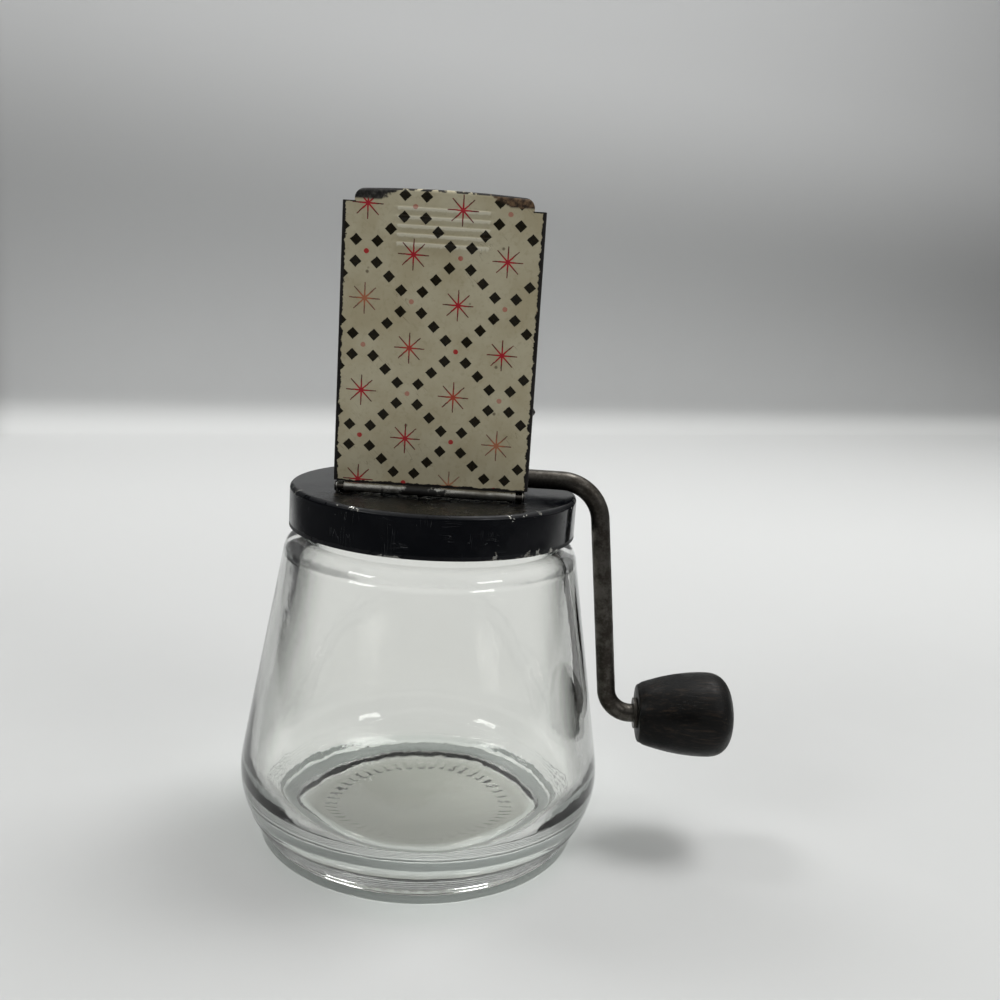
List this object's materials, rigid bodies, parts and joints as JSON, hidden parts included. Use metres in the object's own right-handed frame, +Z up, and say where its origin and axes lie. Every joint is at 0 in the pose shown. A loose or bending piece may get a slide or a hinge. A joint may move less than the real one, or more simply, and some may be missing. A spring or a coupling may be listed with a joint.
{
  "type": "nut chopper",
  "caption": "Hand-cranked nut chopper: glass jar with a black screw cap, tin hopper with a printed hinged door, and a bent crank with a wooden knob that turns star cutters in a comb.",
  "frame": {"origin": "middle of the jar's foot, on the plane it stands on", "axes": "+Z up along the jar's axis, -Y towards the hopper door, +X along the shaft towards the crank"},
  "size_m": [0.1275, 0.093, 0.1611],
  "materials": {
    "clear_glass": "clear pressed glass",
    "seal": "matt cream",
    "black_paint": "gloss, worn",
    "printed_tin": "satin print with diamonds and stars",
    "bright_steel": "satin",
    "bush_brass": "satin",
    "dark_steel": "dark satin",
    "stained_wood": "black stain, worn"
  },
  "bodies": {
    "jar": {"jar": "clear_glass"},
    "seal": {"sealing_ring": "seal"},
    "cap": {"screw_cap": "black_paint", "hopper_wrap": "black_paint", "comb_plate": "bright_steel", "shaft_bush_left": "bush_brass", "shaft_bush_right": "bush_brass", "door_hinge_wire": "bright_steel"},
    "door": {"hopper_door": "printed_tin"},
    "crank": {"crank_rod": "dark_steel", "cutter_blade_1": "bright_steel", "cutter_blade_2": "bright_steel", "cutter_blade_3": "bright_steel", "cutter_blade_4": "bright_steel", "cutter_blade_5": "bright_steel", "cutter_blade_6": "bright_steel", "blade_spacer_1": "bright_steel", "blade_spacer_2": "bright_steel", "blade_spacer_3": "bright_steel", "blade_spacer_4": "bright_steel", "blade_spacer_5": "bright_steel", "end_collar_left": "bright_steel", "end_collar_right": "bright_steel", "knob_stop_washer": "dark_steel", "knob_end_washer": "dark_steel"},
    "knob": {"crank_knob": "stained_wood"}
  },
  "joints": [
    {"name": "seal_lift", "type": "slide", "parent": "jar", "child": "seal", "axis": [0, 0, 1], "range_m": [0, 0.01068]},
    {"name": "cap_turn", "type": "hinge", "parent": "seal", "child": "cap", "pos_m": [0, 0, 0.0854], "axis": [0, 0, 1], "range_deg": [0, 300]},
    {"name": "door_swing", "type": "hinge", "parent": "cap", "child": "door", "pos_m": [0, -0.01586, 0.09206], "axis": [1, 0, 0], "range_deg": [0, 85]},
    {"name": "crank_turn", "type": "hinge", "parent": "cap", "child": "crank", "pos_m": [0, 0, 0.09413], "axis": [1, 0, 0], "continuous": true},
    {"name": "knob_spin", "type": "hinge", "parent": "crank", "child": "knob", "pos_m": [0.0484, 0, 0.03313], "axis": [0.9986, 0, 0.0523], "continuous": true}
  ],
  "couplings": [
    {"joint": "seal_lift", "follows": "cap_turn", "m_per_rad": 0.0020372}
  ]
}
